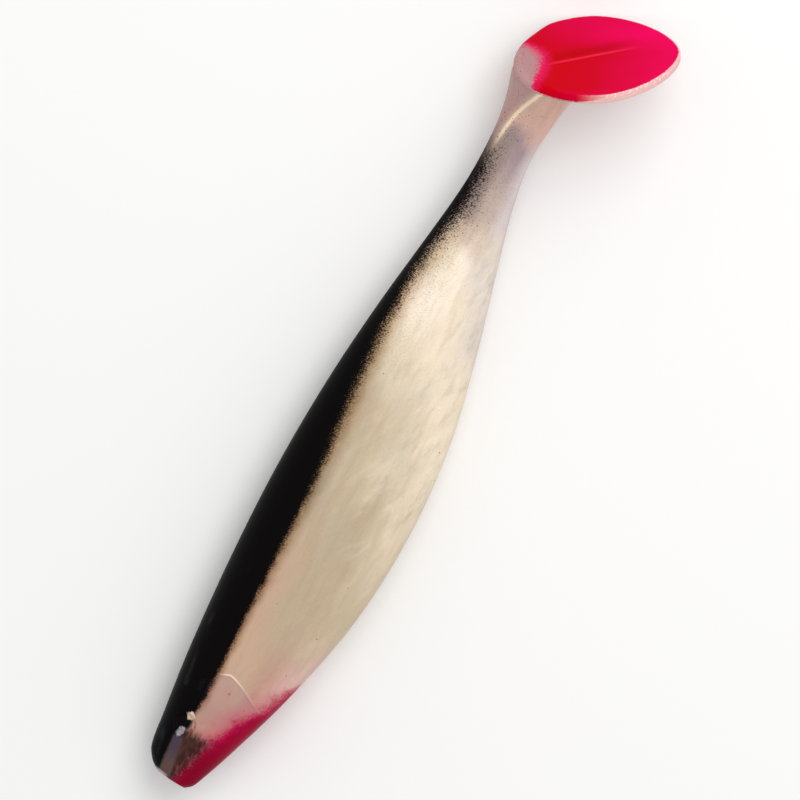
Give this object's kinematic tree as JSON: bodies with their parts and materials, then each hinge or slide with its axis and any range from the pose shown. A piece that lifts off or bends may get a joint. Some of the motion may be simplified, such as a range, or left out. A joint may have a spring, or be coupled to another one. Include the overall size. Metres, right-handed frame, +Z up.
{
  "type": "swimbait",
  "caption": "Soft paddle-tail swimbait lying on its side, with a deep fish-shaped body, a thin wrist and a raked round paddle; body, wrist and paddle flex.",
  "frame": {"origin": "centre of the small flat nose face, on the body's middle plane", "axes": "+X from the nose towards the tail, +Y towards the back, +Z up through the left flank; the lure lies on its right flank"},
  "size_m": [0.2, 0.0358, 0.0341],
  "materials": {
    "black_back": "sprayed black under a clear gloss",
    "pearl_flank": "pearl, satin",
    "red_throat": "sprayed crimson, satin",
    "pearl_tail": "pearl with red overspray, satin",
    "red_paddle": "vivid red, glossy"
  },
  "bodies": {
    "front_body": {"head_back": "black_back", "head_flanks": "pearl_flank", "throat": "red_throat"},
    "middle_body": {"middle_back": "black_back", "middle_flanks": "pearl_flank"},
    "rear_body": {"rear_back": "black_back", "rear_flanks": "pearl_flank"},
    "wrist": {"tail_wrist": "pearl_tail"},
    "paddle": {"paddle_stem": "pearl_tail", "paddle_plate": "pearl_tail", "paddle_face": "red_paddle"},
    "toe": {"toe_plate": "pearl_tail", "toe_face": "red_paddle"}
  },
  "joints": [
    {"name": "body_bend", "type": "hinge", "parent": "front_body", "child": "middle_body", "pos_m": [0.088, 0, 0], "axis": [0, -1, 0], "range_deg": [-20, 20], "stiffness_Nm_per_rad": 0.3},
    {"name": "peduncle_bend", "type": "hinge", "parent": "middle_body", "child": "rear_body", "pos_m": [0.122, 0, 0], "axis": [0, -1, 0], "range_deg": [-30, 30], "stiffness_Nm_per_rad": 0.1},
    {"name": "wrist_bend", "type": "hinge", "parent": "rear_body", "child": "wrist", "pos_m": [0.15, 0, 0], "axis": [0, -1, 0], "range_deg": [-60, 35], "stiffness_Nm_per_rad": 0.02},
    {"name": "wrist_twist", "type": "hinge", "parent": "wrist", "child": "paddle", "pos_m": [0.16392, 0, 0.00128], "axis": [0.9833, 0, 0.1822], "range_deg": [-45, 30], "stiffness_Nm_per_rad": 0.01},
    {"name": "toe_flex", "type": "hinge", "parent": "paddle", "child": "toe", "pos_m": [0.19188, -0.01327, 0.00656], "axis": [-0.3445, -0.2756, 0.8974], "range_deg": [-30, 40], "stiffness_Nm_per_rad": 0.002}
  ]
}
